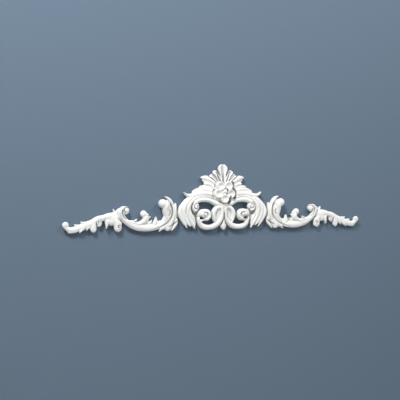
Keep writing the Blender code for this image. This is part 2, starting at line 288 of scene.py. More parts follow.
def sweep_tree():
    """Geometry Nodes: sweep a section along a spine whose points hold half width and crest height.

    The spine's x and z are its place on the wall, its -y the crest height and its radius the half width.
    """
    tree, given = open_tree("carved stroke", {
        "Geometry": "Geometry", "Section": "Object", "Section Points": "Int", "Stations": "Int",
        "Root Rounding": "Float", "Tip Rounding": "Float", "Least Half Width": "Float",
        "Material": "Material",
    })
    tube = add_node(tree, "GeometryNodeMeshCylinder", {
        "Vertices": given["Section Points"], "Side Segments": given["Stations"],
        "Radius": 1.0, "Depth": 1.0,
    }, fill_type="NGON").outputs["Mesh"]
    place = add_node(tree, "GeometryNodeInputPosition").outputs[0]
    height = add_node(tree, "ShaderNodeSeparateXYZ", {0: place}).outputs["Z"]
    # Stations crowd together at both ends, where a rounded end turns fastest
    turned = add_node(tree, "ShaderNodeMapRange", {
        "Value": height, "From Min": -0.5, "From Max": 0.5, "To Min": 0.0, "To Max": math.pi,
    }).outputs[0]
    wave = add_node(tree, "ShaderNodeMath", {0: turned}, operation="COSINE").outputs[0]
    bunched = add_node(tree, "ShaderNodeMath", {0: wave, 1: -0.5, 2: 0.5},
                       operation="MULTIPLY_ADD").outputs[0]

    length = add_node(tree, "GeometryNodeSplineLength").outputs["Length"]
    total = add_node(tree, "GeometryNodeSampleIndex", {
        "Geometry": given["Geometry"], "Value": length, "Index": 0,
    }, data_type="FLOAT", domain="CURVE").outputs[0]
    radius = add_node(tree, "GeometryNodeInputRadius").outputs[0]
    spine = add_node(tree, "GeometryNodeSampleCurve", {
        "Curves": given["Geometry"], "Factor": bunched, "Value": radius,
    }, mode="FACTOR", data_type="FLOAT", use_all_curves=False)
    half = spine.outputs["Value"]
    at = add_node(tree, "ShaderNodeSeparateXYZ", {0: spine.outputs["Position"]}).outputs
    level = add_node(tree, "ShaderNodeVectorMath", {0: spine.outputs["Tangent"], 1: (1.0, 0.0, 1.0)},
                     operation="MULTIPLY").outputs[0]
    heading = add_node(tree, "ShaderNodeVectorMath", {0: level}, operation="NORMALIZE").outputs[0]
    way = add_node(tree, "ShaderNodeSeparateXYZ", {0: heading}).outputs

    def rounded(distance, amount):
        """1 along the stroke, falling in a quarter circle to 0 at an end that is rounded."""
        inside = add_node(tree, "ShaderNodeMath", {0: distance, 1: half}, operation="DIVIDE",
                          use_clamp=True).outputs[0]
        short = add_node(tree, "ShaderNodeMath", {0: 1.0, 1: inside}, operation="SUBTRACT").outputs[0]
        square = add_node(tree, "ShaderNodeMath", {0: short, 1: short}, operation="MULTIPLY").outputs[0]
        rest = add_node(tree, "ShaderNodeMath", {0: 1.0, 1: square}, operation="SUBTRACT",
                        use_clamp=True).outputs[0]
        arc = add_node(tree, "ShaderNodeMath", {0: rest}, operation="SQRT").outputs[0]
        return add_node(tree, "ShaderNodeMix", {0: amount, 2: 1.0, 3: arc}, data_type="FLOAT").outputs[0]

    from_root = add_node(tree, "ShaderNodeMath", {0: bunched, 1: total}, operation="MULTIPLY").outputs[0]
    from_tip = add_node(tree, "ShaderNodeMath", {0: total, 1: from_root}, operation="SUBTRACT").outputs[0]
    fade = add_node(tree, "ShaderNodeMath", {
        0: rounded(from_root, given["Root Rounding"]), 1: rounded(from_tip, given["Tip Rounding"]),
    }, operation="MULTIPLY").outputs[0]
    faded = add_node(tree, "ShaderNodeMath", {0: half, 1: fade}, operation="MULTIPLY").outputs[0]
    half_here = add_node(tree, "ShaderNodeMath", {0: faded, 1: given["Least Half Width"]},
                         operation="MAXIMUM").outputs[0]
    # A rounded end keeps over half of its height
    lowered = add_node(tree, "ShaderNodeMapRange", {
        "Value": fade, "To Min": -END_HEIGHT, "To Max": -1.0,
    }).outputs[0]
    crest_here = add_node(tree, "ShaderNodeMath", {0: at["Y"], 1: lowered},
                          operation="MULTIPLY").outputs[0]

    index = add_node(tree, "GeometryNodeInputIndex").outputs[0]
    number = add_node(tree, "ShaderNodeMath", {0: index, 1: given["Section Points"]},
                      operation="FLOORED_MODULO").outputs[0]
    section = add_node(tree, "GeometryNodeObjectInfo", {"Object": given["Section"]}).outputs["Geometry"]
    shares = add_node(tree, "GeometryNodeSampleIndex", {
        "Geometry": section, "Value": place, "Index": number,
    }, data_type="FLOAT_VECTOR", domain="POINT").outputs[0]
    share = add_node(tree, "ShaderNodeSeparateXYZ", {0: shares}).outputs

    sideways = add_node(tree, "ShaderNodeMath", {0: share["X"], 1: half_here},
                        operation="MULTIPLY").outputs[0]
    forward = add_node(tree, "ShaderNodeMath", {0: share["Y"], 1: crest_here},
                       operation="MULTIPLY").outputs[0]
    across = add_node(tree, "ShaderNodeMath", {0: way["Z"], 1: -1.0}, operation="MULTIPLY").outputs[0]
    square_on = add_node(tree, "ShaderNodeCombineXYZ", {"X": across, "Z": way["X"]}).outputs[0]
    spread = add_node(tree, "ShaderNodeVectorMath", {0: square_on, "Scale": sideways},
                      operation="SCALE").outputs[0]
    outward = add_node(tree, "ShaderNodeMath", {0: forward, 1: -1.0}, operation="MULTIPLY").outputs[0]
    ridge = add_node(tree, "ShaderNodeCombineXYZ", {"X": at["X"], "Y": outward, "Z": at["Z"]}).outputs[0]
    point = add_node(tree, "ShaderNodeVectorMath", {0: ridge, 1: spread}, operation="ADD").outputs[0]
    carved = add_node(tree, "GeometryNodeSetPosition", {"Geometry": tube, "Position": point}).outputs[0]
    return close_tree(tree, carved, given["Material"])


sweep_group = sweep_tree()
strokes = bpy.data.collections.new("strokes")
bpy.context.scene.collection.children.link(strokes)


def keep(mesh, name):
    """Keep a closed stroke, faces outward, among the pieces to be joined."""
    shell = bmesh.new()
    shell.from_mesh(mesh)
    bmesh.ops.recalc_face_normals(shell, faces=shell.faces)
    shell.to_mesh(mesh)
    shell.free()
    strokes.objects.link(bpy.data.objects.new(name, mesh))


def mirrored(mesh, name):
    """Keep the mirror image of a stroke about the plane x = 0."""
    image = mesh.copy()
    image.transform(Matrix.Scale(-1, 4, (1, 0, 0)))
    keep(image, name)


def stroke(name, stations, section="strand", tip="point"):
    """Sweep one stroke with a rounded root, and its mirror image unless it lies on the axis."""
    rows = smooth_path(stations)
    curve = bpy.data.curves.new(name, "CURVE")
    curve.dimensions = "3D"
    spline = curve.splines.new("POLY")
    spline.points.add(len(rows) - 1)
    for point, (x, z, half, crest) in zip(spline.points, rows):
        point.co = (x * MM, -crest * MM, z * MM, 1.0)
        point.radius = max(half, POINT_WIDTH) * MM
    item = scene_object(name, curve)
    sweep = item.modifiers.new("sweep", "NODES")
    sweep.node_group = sweep_group
    length = sum(math.dist(a[:2], b[:2]) for a, b in zip(rows, rows[1:]))
    count = min(MOST_STATIONS, max(LEAST_STATIONS, round(length / STATION_GAP)))
    set_input(sweep, "Section", section_objects[section])
    set_input(sweep, "Section Points", len(SECTIONS[section]) + 2)
    set_input(sweep, "Stations", count)
    set_input(sweep, "Root Rounding", 1.0)
    set_input(sweep, "Tip Rounding", 1.0 if tip == "round" else 0.0)
    set_input(sweep, "Least Half Width", POINT_WIDTH * MM)
    set_input(sweep, "Material", cast_white)
    mesh = evaluated_mesh(item)
    bpy.data.objects.remove(item)
    keep(mesh, name + " right")
    if any(abs(row[0]) > ON_AXIS for row in stations):
        mirrored(mesh, name + " left")


# Grooves: lines cut into the joined skin with a gouge, (x, z, half width, depth)

COIL_STEPS = 14             # stations of a groove that winds round

groove_lines = []


def groove(stations, both=True):
    """Cut a groove, and its mirror image unless it lies on the axis or is on one side only."""
    rows = smooth_path(stations)
    groove_lines.append(rows)
    if both and any(abs(row[0]) > ON_AXIS for row in stations):
        groove_lines.append([(-row[0],) + tuple(row[1:]) for row in rows])


def coil(centre, radii, degrees, half, depth, both=True):
    """Cut a groove that winds from the first radius and angle to the last."""
    rows = []
    for step in range(COIL_STEPS + 1):
        share = step / COIL_STEPS
        radius = radii[0] + (radii[1] - radii[0]) * share
        angle = math.radians(degrees[0] + (degrees[1] - degrees[0]) * share)
        x = centre[0] + radius * math.cos(angle)
        z = centre[1] + radius * math.sin(angle)
        rows.append((x, z, half, depth))
    groove(rows, both)


def groove_object():
    """The grooves as loose edges on the wall plane, with half width and depth stored on the points."""
    places, edges, halves, depths = [], [], [], []
    for rows in groove_lines:
        start = len(places)
        for x, z, half, depth in rows:
            places.append((x * MM, 0.0, z * MM))
            halves.append(half * MM)
            depths.append(depth * MM)
        edges += [(k, k + 1) for k in range(start, len(places) - 1)]
    mesh = bpy.data.meshes.new("grooves")
    mesh.from_pydata(places, edges, [])
    mesh.attributes.new("half", "FLOAT", "POINT").data.foreach_set("value", halves)
    mesh.attributes.new("depth", "FLOAT", "POINT").data.foreach_set("value", depths)
    return scene_object("grooves", mesh)


def gouge_tree():
    """Geometry Nodes: press the skin back towards the wall along the grooves that follow it."""
    tree, given = open_tree("gouged grooves", {
        "Geometry": "Geometry", "Grooves": "Object", "Foot Height": "Float", "Full Height": "Float",
        "Material": "Material",
    })
    lines = add_node(tree, "GeometryNodeObjectInfo", {"Object": given["Grooves"]}).outputs["Geometry"]
    place = add_node(tree, "GeometryNodeInputPosition").outputs[0]
    flat = add_node(tree, "ShaderNodeVectorMath", {0: place, 1: (1.0, 0.0, 1.0)},
                    operation="MULTIPLY").outputs[0]
    away = add_node(tree, "GeometryNodeProximity", {"Target": lines, "Source Position": flat},
                    target_element="EDGES").outputs["Distance"]
    nearest = add_node(tree, "GeometryNodeSampleNearest", {"Geometry": lines, "Sample Position": flat},
                       domain="POINT").outputs[0]

    def stored(name):
        """A value stored on the groove's nearest point."""
        named = add_node(tree, "GeometryNodeInputNamedAttribute", {"Name": name}, data_type="FLOAT")
        return add_node(tree, "GeometryNodeSampleIndex", {
            "Geometry": lines, "Value": named.outputs[0], "Index": nearest,
        }, data_type="FLOAT", domain="POINT").outputs[0]

    cut = add_node(tree, "ShaderNodeMapRange", {
        "Value": away, "From Min": stored("half"), "From Max": 0.0,
        "To Min": 0.0, "To Max": stored("depth"),
    }, interpolation_type="SMOOTHSTEP").outputs[0]
    behind = add_node(tree, "ShaderNodeSeparateXYZ", {0: place}).outputs["Y"]
    height = add_node(tree, "ShaderNodeMath", {0: behind, 1: -1.0}, operation="MULTIPLY").outputs[0]
    reach = add_node(tree, "ShaderNodeMapRange", {
        "Value": height, "From Min": given["Foot Height"], "From Max": given["Full Height"],
    }, interpolation_type="SMOOTHSTEP").outputs[0]
    back = add_node(tree, "ShaderNodeMath", {0: cut, 1: reach}, operation="MULTIPLY").outputs[0]
    # A groove never reaches the wall
    over = add_node(tree, "ShaderNodeMath", {0: height, 1: given["Foot Height"]},
                    operation="SUBTRACT").outputs[0]
    room = add_node(tree, "ShaderNodeMath", {0: over, 1: 0.0}, operation="MAXIMUM").outputs[0]
    back = add_node(tree, "ShaderNodeMath", {0: back, 1: room}, operation="MINIMUM").outputs[0]
    push = add_node(tree, "ShaderNodeCombineXYZ", {"Y": back}).outputs[0]
    moved = add_node(tree, "GeometryNodeSetPosition", {"Geometry": given["Geometry"], "Offset": push})
    return close_tree(tree, moved.outputs[0], given["Material"])


# Bosses: profiles of (share of the radius, share of the crest height), from the top down to the foot

BALL = ((0.0, 1.0), (0.3, 0.985), (0.55, 0.94), (0.75, 0.87), (0.9, 0.77), (0.98, 0.66), (1.0, 0.55))
BOWL = ((0.0, 0.80), (0.3, 0.82), (0.5, 0.88), (0.7, 0.96), (0.84, 1.0), (0.93, 0.98), (0.99, 0.88),
        (1.0, 0.7))
BOSS_SIDES = 36


def boss_mesh(name, radius, crest, profile):
    """A round boss about the Y axis: a profile turned square to the wall."""
    shape = bmesh.new()
    rows = [(reach * radius, -share * crest) for reach, share in profile] + [(radius, 0.0)]
    turns = [2 * math.pi * k / BOSS_SIDES for k in range(BOSS_SIDES)]
    rings = []
    for reach, depth in rows:
        if reach == 0.0:
            places = [(0.0, depth * MM, 0.0)]
        else:
            places = [(reach * math.cos(a) * MM, depth * MM, reach * math.sin(a) * MM) for a in turns]
        rings.append([shape.verts.new(place) for place in places])
    for low, high in zip(rings, rings[1:]):
        for k in range(BOSS_SIDES):
            n = (k + 1) % BOSS_SIDES
            if len(low) == 1:
                shape.faces.new((low[0], high[k], high[n]))
            else:
                shape.faces.new((low[k], high[k], high[n], low[n]))
    shape.faces.new(rings[-1])
    bmesh.ops.recalc_face_normals(shape, faces=shape.faces)
    mesh = bpy.data.meshes.new(name)
    shape.to_mesh(mesh)
    shape.free()
    return mesh


def button(name, centre, radius, crest):
    """A ball boss on the right, and its mirror image unless it lies on the axis."""
    mesh = boss_mesh(name, radius, crest, BALL)
    mesh.transform(Matrix.Translation((centre[0] * MM, 0.0, centre[1] * MM)))
    keep(mesh, name + " right")
    if abs(centre[0]) > ON_AXIS:
        mirrored(mesh, name + " left")


# Flower

FLOWER_CENTRE = (0.0, 50.0)
FLOWER_PETALS = 5
PETAL_CIRCLE = 24.0
PETAL_RADIUS = 15.0
PETAL_CREST = 36.0


def petal_ring_tree():
    """Geometry Nodes: set a petal round a circle, the first one pointing down."""
    tree, given = open_tree("petal ring", {
        "Petal": "Object", "Petals": "Int", "Circle Radius": "Float", "Centre": "Vector",
        "Material": "Material",
    })
    circle = add_node(tree, "GeometryNodeMeshCircle", {
        "Vertices": given["Petals"], "Radius": given["Circle Radius"],
    })
    # The circle is drawn flat on the floor, and stood up against the wall with its first point lowest
    stood = add_node(tree, "GeometryNodeTransform", {
        "Geometry": circle.outputs[0], "Translation": given["Centre"],
        "Rotation": (math.pi / 2, math.pi / 2, 0.0),
    })
    petal = add_node(tree, "GeometryNodeObjectInfo", {"Object": given["Petal"]})
    ring = add_node(tree, "GeometryNodeInstanceOnPoints", {
        "Points": stood.outputs[0], "Instance": petal.outputs["Geometry"],
    })
    return close_tree(tree, ring.outputs[0], given["Material"])


def flower():
    """Five spoon petals about a boss, one pointing down."""
    button("flower ground", (0.0, 46.0), 33.0, 17.0)
    button("flower core", FLOWER_CENTRE, 19.0, 33.0)
    button("flower web", (27, 59), 8.0, 27.0)
    button("flower web low", (17, 26), 8.0, 26.0)
    button("flower boss", FLOWER_CENTRE, 8.5, 36.0)
    petal = scene_object("petal", boss_mesh("petal", PETAL_RADIUS, PETAL_CREST, BOWL))
    item = scene_object("petals", bpy.data.meshes.new("petals"))
    ring = item.modifiers.new("petal ring", "NODES")
    ring.node_group = petal_ring_tree()
    set_input(ring, "Petal", petal)
    set_input(ring, "Petals", FLOWER_PETALS)
    set_input(ring, "Circle Radius", PETAL_CIRCLE * MM)
    set_input(ring, "Centre", (FLOWER_CENTRE[0] * MM, 0.0, FLOWER_CENTRE[1] * MM))
    set_input(ring, "Material", cast_white)
    mesh = evaluated_mesh(item)
    bpy.data.objects.remove(item)
    bpy.data.objects.remove(petal)
    keep(mesh, "flower petals")


# Leaves and scrolls, from the crest out to the ends

def palmette():
    """Palmette over the flower: a spoon petal on the axis, then narrow petals, then a leaf."""
    stroke("petal 0", ((0, 66, 6, 24), (0, 100, 9.5, 20), (0, 124, 17.5, 20), (0, 145, 18.5, 19)),
           "spoon", tip="round")
    stroke("petal 1", ((6, 74, 5, 22), (17, 96, 7.5, 21), (27, 112, 8.5, 20), (34.5, 122.5, 9.5, 18)),
           "petal", tip="round")
    stroke("petal 2", ((12, 72, 5, 22), (28, 90, 7.5, 21), (39, 101.5, 7.5, 20), (48, 108, 7.5, 18)),
           "petal", tip="round")
    stroke("crest leaf", ((22, 68, 8, 23), (42, 86, 10.5, 24), (58, 94.5, 11, 22), (72, 98, 8, 16),
                          (83, 98.5, 1.5, 12)))
    stroke("crest leaf side", ((34, 70, 8, 21), (54, 82, 10, 20), (67, 88, 8.5, 15), (77, 91, 4, 11)),
           tip="round")
    stroke("crest ground", ((26, 56, 15, 20), (48, 73, 15, 20.5), (64, 82, 10, 18)), tip="round")
    stroke("crest leaf low", ((26, 60, 9, 21), (46, 72, 10, 22), (60, 76.5, 7.5, 22),
                              (71, 75.5, 5, 22)), tip="round")


def shoulder():
    """Leaf that leans out from the flower and ends in a horn."""
    stroke("shoulder", ((26, 38, 9, 22), (60, 44, 12, 24), (90, 42, 12, 23), (114, 36, 9.5, 22),
                        (128, 37, 7, 21), (136, 41, 4.5, 21), (143.5, 49.5, 0.8, 21)))
    stroke("shoulder lobe 1", ((34, 50, 9, 21), (62, 56, 10, 23), (82, 57, 9, 20), (98, 54.5, 7.5, 14),
                               (114, 48, 4, 10)), tip="round")
    stroke("shoulder lobe 2", ((32, 58, 9, 20), (54, 65, 8, 20), (74, 67, 5.5, 20), (88, 66, 4, 18)),
           tip="round")


def bands():
    """Upper band with its small volute, and the ring with its inner volute and the leaf inside it."""
    stroke("arch", ((4, 7, 8, 24), (28, 10, 9, 24), (50, 20, 8, 23), (74, 23.5, 8.5, 24),
                    (95, 19, 8.5, 26), (109, 8, 7, 28), (112.5, -4, 5.5, 29), (107, -13, 5.2, 29),
                    (97.5, -12, 4.2, 28)), tip="round")
    button("arch eye", (102.5, -0.5), 12.5, 29.5)
    button("knot", (0, 6), 9.0, 24.0)
    stroke("crossing", ((-24, 10.5, 7.5, 23), (0, 1, 9.5, 25.5), (21, -6, 7.5, 24.5)), tip="round")
    stroke("crossing foot", ((0, 2, 8, 25), (0, -17, 4, 21)), tip="round")
    stroke("arch ground", ((6, 18, 13, 24), (40, 32, 9, 20)), tip="round")
    stroke("arch roll", ((34, 29, 6, 20), (70, 35, 7, 22), (98, 30, 7.5, 23), (117, 16, 7, 23),
                         (123, -4, 6, 22), (117, -22, 5, 18), (107, -38, 0.9, 14)))
    stroke("c ground", ((118, 12, 8, 13), (113, -10, 11, 13), (104, -30, 6, 12)), "ridge", tip="round")
    stroke("eye corner", ((92, -9, 5, 16), (103, -18, 6, 14)), tip="round")
    stroke("gap ground", ((101, -12, 7, 11), (103, -32, 6, 10), (100.5, -47, 4, 9)),
           "ridge", tip="round")
    stroke("ring", ((9, 9, 9, 24), (6, -12, 7, 26), (9, -42, 8.5, 24), (30, -64.5, 10.5, 20),
                    (60, -71, 10, 18), (81, -64, 10, 20), (90, -49, 8.5, 22), (92.5, -34, 8.5, 24)),
           tip="round")
    stroke("volute", ((92, -36, 8.5, 22), (89, -22, 8.5, 26), (76, -16.5, 8, 30), (60, -18.5, 8, 31),
                      (54.5, -31, 7.5, 31), (62, -41.5, 7.5, 30), (74, -43, 5.5, 28)),
           "ball", tip="round")
    button("volute eye", (71, -28), 11.0, 32.5)
    button("volute fill", (81, -26), 8.5, 30.5)
    stroke("volute tail", ((70, -45, 4, 22), (80, -47, 4.5, 20), (90, -50, 5, 18)), tip="round")
    stroke("ring leaf", ((12, 0, 7, 24), (27, -6.5, 8.5, 25), (37, -23, 8.5, 25), (35, -44, 6, 22),
                         (29, -60, 0.9, 18)))
    stroke("ring floor", ((14, -2, 10, 18), (20, -26, 14, 17), (32, -52, 9, 14)), "ridge", tip="round")
    stroke("drop", ((0, -28, 2, 20), (0, -46, 4, 21), (0, -58, 8.5, 21), (0, -68, 12, 20),
                    (0, -76, 8.5, 18), (0, -81, 2, 16)))


def outer_c():
    """Parallel flutes that sweep down outside the upper band."""
    stroke("flute 1", ((112, 33, 5, 18), (127, 25, 8, 21), (145, 8, 8.5, 22), (155.5, -8, 9, 22),
                       (158, -24, 8.5, 22), (151, -41, 7, 20), (142, -56, 6, 18),
                       (131.5, -72, 0.9, 17)))
    stroke("flute 2", ((110, 33, 5, 22), (130, 17, 8, 25), (143, -5, 8, 25), (144, -27, 8.5, 23),
                       (134, -50, 8.5, 20), (119, -67, 2.4, 17)))
    stroke("flute 3", ((112, 24, 5, 22), (127, 4, 7, 26), (131, -18, 8, 25), (124, -41, 8.5, 22),
                       (112, -60, 7, 19), (103.5, -76, 0.9, 17)))
    stroke("flute 4", ((127, -6, 4, 20), (121, -25, 6, 22), (111, -42, 6.5, 20), (104.5, -58, 4, 17),
                       (103, -66, 0.9, 15)))
    stroke("wing web", ((146, -24, 12, 11), (166, -24, 15, 11), (188, -24, 12, 11)),
           "ridge", tip="round")


def wing():
    """Acanthus leaf with a curled head, the curl, the sprouts and the C-scroll that ends in a volute."""
    stroke("side leaf", ((174, -52, 5, 15), (174, -18, 5.5, 20), (173.5, 4, 5, 19),
                         (172.5, 13.5, 2, 17)), tip="round")
    stroke("rim leaf", ((198, -62, 7, 16), (184, -42, 7.5, 20), (180, -16, 7, 22), (185.5, 8, 7, 23),
                        (194.5, 22.5, 7, 24), (204, 30.5, 4.5, 24), (211, 34, 1.2, 23)))
    stroke("head", ((236, -68, 7, 17), (213, -51, 13, 21), (200.5, -29, 14.5, 25), (202, -8, 16, 28),
                    (206, 9, 15.5, 31)), tip="round")
    stroke("head crown", ((200, -6, 12, 28), (206.5, 8, 15.5, 32), (219, 11.5, 14.5, 33)), tip="round")
    stroke("sprout ground", ((220, -50, 8, 17), (236, -52.5, 8, 16)), tip="round")
    button("head bulb", (218.5, 11.5), 14.5, 33.0)
    stroke("head throat", ((206, 16, 12, 32), (208, 1, 13, 32.5), (209.5, -14, 10.5, 29),
                           (206, -30, 9.5, 26), (212, -46, 10, 22), (226, -57, 9, 18)), tip="round")
    stroke("low lobe 1", ((172, -36, 7, 16), (171, -53, 7.5, 17), (178, -67, 5.5, 17),
                          (188.5, -80, 0.9, 16)))
    stroke("low lobe 2", ((184, -42, 9, 18), (194, -58, 12, 18), (206, -80.5, 13, 16)), tip="round")
    stroke("low lobe 3", ((200, -48, 9, 18), (210, -63, 12, 18), (222, -71.5, 6.5, 17),
                          (231.5, -82, 0.9, 15)))
    stroke("c scroll", ((212, -56, 9, 18), (244, -65.5, 12, 18), (283, -67, 14, 18), (314, -60, 14, 19),
                        (339, -48.5, 10.5, 21), (355, -30, 9.5, 24), (361, -14, 7.5, 26),
                        (354.5, -2.5, 6.5, 26), (342, -2.5, 6, 24)), tip="round")
    button("c volute", (345, -9.5), 13.5, 25.0)
    stroke("c edge", ((292, -55, 7, 19), (318, -49.5, 7, 20), (337, -44.5, 5.5, 21), (347, -33, 4, 22)),
           tip="round")
    stroke("c thorn", ((326, -48, 6, 20), (315, -45.5, 4.5, 21), (306.5, -38, 0.9, 22)))
    stroke("curl stalk", ((314, -57, 6, 19), (294, -52, 8, 20), (279, -43, 11, 22), (277, -26, 11, 24)),
           tip="round")
    stroke("curl back", ((276, -52, 7, 18), (271, -38, 6, 20), (274, -19, 7, 22)), "ball", tip="round")
    button("curl", (284, -22), 11.5, 23.0)
    stroke("curl leaf", ((288, -54, 8, 18), (272, -43, 7, 18), (266, -35, 4, 17),
                         (259, -30.5, 0.9, 16)))
    stroke("sprout", ((247, -66, 12, 17), (243, -49, 9.5, 19), (242, -40, 5.5, 19),
                      (242, -32, 1.4, 19)))
    stroke("sprout low", ((272, -60, 12, 16), (262, -51, 7, 16), (255.5, -42, 1.2, 16)))


def end_leaf():
    """Long leaf along the casing: a rib with hanging lobes, thorns on top and a curled tip."""
    stroke("rib", ((358, -38, 8, 15), (378, -28, 12.5, 19), (400, -29, 12.5, 20),
                   (417, -32.5, 10.5, 19), (432, -37, 12.5, 18), (454, -49, 13, 17),
                   (478, -57, 12.5, 16), (503, -66, 11, 16), (524, -68, 9.5, 16), (535, -61, 9.5, 17),
                   (538.5, -54, 9.5, 17)), tip="round")
    button("end curl", (537.5, -53.5), 11.0, 19.0)
    stroke("fan", ((350, -20, 9, 19), (366, -29, 15, 20), (388, -34, 15, 20), (406, -36, 9, 18)),
           tip="round")
    stroke("rib lobe 1", ((394, -32, 9, 19), (378, -42, 13, 20.5), (370, -58, 14, 20),
                          (370, -80.5, 13.5, 18)), tip="round")
    stroke("lobe ground", ((376, -34, 12, 15), (364, -48, 9.5, 16), (360, -60, 6, 16)), tip="round")
    stroke("rib lobe 2", ((392, -34, 11, 20), (391, -47, 11, 19.5), (391, -60, 10, 15)), tip="round")
    stroke("rib lobe 3", ((404, -34, 9, 19.5), (405, -50, 8, 19), (407.5, -68, 0.9, 17)))
    stroke("rib lobe 4", ((436, -36, 9, 16), (429.5, -46, 10, 16), (432, -62.5, 7.5, 15)), tip="round")
    stroke("rib lobe 5", ((447, -42, 11, 17), (448.5, -60, 12, 17), (449, -80.5, 11.5, 16)),
           tip="round")
    stroke("rib lobe 6", ((458, -48, 9, 16), (464, -60, 7, 16), (471.5, -72.5, 0.9, 15)))
    stroke("rib lobe 7", ((474, -54, 11, 16), (483, -66, 8, 16), (494, -79.5, 0.9, 16)))
    stroke("rib lobe 8", ((490, -62, 10, 15), (508, -70, 10.5, 15), (533, -75, 7, 14)), tip="round")
    stroke("thorn 1", ((375, -26, 7, 17), (382, -12, 4, 17), (385, -4.5, 1.6, 16)))
    stroke("thorn 2", ((466, -50, 8, 15), (482, -48.5, 7, 15), (491, -43, 0.9, 15)))
    stroke("thorn 3", ((488, -60, 8, 15), (502, -56, 6, 15), (511.5, -51.5, 0.9, 15)))
    stroke("end back", ((376, -34, 10, 18), (374, -21, 8, 18), (366, -9, 7, 18), (354, -3, 5, 18)),
           tip="round")


def grooves():
    """Lines cut with a gouge after the strokes are joined."""
    # Palmette
    groove(((0, 82, 2.5, 3), (0, 108, 5, 5), (0, 130, 7, 5), (0, 138, 5, 2)))
    groove(((10, 82, 2.2, 4), (19, 104, 2.5, 7), (24, 118, 2.5, 7)))
    groove(((18, 82, 2.2, 4), (29, 101, 2.5, 7), (40, 112, 2.5, 7)))
    groove(((26, 79, 2.2, 4), (40, 93, 2.5, 7), (54, 102, 2.5, 6)))
    # The flower's petals and boss are undercut, deeply on their right sides and faintly on their left
    deep = (PETAL_RADIUS + 8.5, PETAL_RADIUS + 7.5)
    faint = (PETAL_RADIUS + 3.5, PETAL_RADIUS + 3.5)
    for turn, low, high in ((-90, -44, 14), (-18, -40, 44), (54, -30, 38)):
        x = PETAL_CIRCLE * math.cos(math.radians(turn))
        z = FLOWER_CENTRE[1] + PETAL_CIRCLE * math.sin(math.radians(turn))
        coil((x, z), deep, (low, high), 5.2, 19.0, both=False)
        coil((-x, z), faint, (180 - low, 180 - high), 2.6, 3.0, both=False)
    coil(FLOWER_CENTRE, (11.5, 11.5), (-55, 55), 2.6, 10.0, both=False)
    # Between the ring and the drop
    groove(((0.8, -22, 2, 5), (1.5, -38, 2, 7), (4.5, -52, 2, 8), (10, -62, 2, 8), (14, -69, 2, 8)))
    # Small volute of the upper band
    coil((102.5, -0.5), (9.5, 4.5), (100, -250), 1.8, 4.0)
    groove(((106, 17, 1.5, 3), (114, 9, 2.5, 7), (117.5, -4, 3, 8), (114.5, -17, 3, 8),
            (108, -27, 2.5, 6)))
    # Inner volute: the turn about its eye, and the hollow where the ring's end leaves it
    coil((68.5, -26.5), (7, 5), (-80, 230), 2.0, 4.0)
    groove(((80, -36, 3, 6), (84, -39.5, 4, 13), (87, -42, 3.5, 10)))
    # Gap between the ring and the outer C
    groove(((104, -23, 2.5, 9), (100.5, -36, 2.8, 11), (99, -50, 2.8, 11), (97.5, -64, 3, 11)))
    # Wing
    groove(((201, 19, 2.5, 3), (191.5, 8, 3, 5), (186, -8, 3, 5), (186, -22, 3, 4.5),
            (193.5, -40, 3, 4.5), (209, -56, 3, 4), (231, -67, 3, 3.5), (256, -75, 2.5, 2)))
    groove(((165, -46, 2, 4), (179, -57, 2.5, 6), (197, -67, 2.5, 4)))
    groove(((200, -9, 1.5, 2), (195, -17, 2.4, 5), (198, -27, 2, 4), (205, -29, 1.5, 1.5)))
    groove(((356, -9, 2.5, 5), (356, -20, 2.5, 6), (350, -32, 2.5, 5), (338, -40, 2.5, 4),
            (318, -46, 2.5, 3), (298, -50, 2, 2)))
    coil((343, -9), (9.5, 7), (150, -70), 2.2, 5.0)
    # End leaf
    coil((537, -54), (6.5, 2.5), (60, -220), 2.0, 2.0)
    coil((366, -62.5), (5.5, 1.5), (130, -130), 2.2, 5.5)
    groove(((427, -36, 1.5, 1.5), (425, -46, 2, 2.5), (428, -57, 1.5, 2)))
    groove(((434, -36, 1.5, 1.5), (432.5, -46, 2, 3), (434, -57, 1.5, 2)))
    groove(((441, -42, 1.5, 2), (439, -56, 2.5, 5), (438, -66, 2, 4)))
    groove(((372, -8, 2, 2), (371, -22, 2.5, 3), (364, -38, 2.5, 3), (356, -50, 2, 3)))


flower()
palmette()
shoulder()
bands()
outer_c()
wing()
end_leaf()
grooves()

# One skin

VOXEL = 1.15                # grain of the melted skin, finer than the grooves
SOFTENING = 3               # passes that turn the valleys between strokes into the fillets of a casting
GROOVE_FOOT = 5.0           # no groove goes nearer to the wall than this
GROOVE_FULL = 12.0          # and it has its full depth from this height up
SKIN_TRIANGLES = 186000     # what is left after the flatter places are thinned out
FOOT_DRAFT = 4.5            # how far the foot of the skin is drawn in
DRAFT_HEIGHT = 13.0         # the foot is drawn in below this height
THIN_SHARE = 0.3            # but never by more than this share of a thin leaf
BACK_FACING = 0.9           # what faces the wall more squarely than this is the flat back
FRONT_FACING = -0.6         # and what faces the room more squarely than this is the carved front
PROBE_START = 0.2           # how far inside its wall the thickness of a leaf is felt from
BACK_PASSES = 60            # passes that spread the flat back out again inside its drawn-in outline
SMOOTH_PULL = 0.5           # how far a pass moves a point towards its neighbours
FLAT_REACH = 0.5            # what lies this close to the wall plane is laid flat on it
CRISP_ANGLE = math.radians(50)  # a fold sharper than this is shaded as an edge


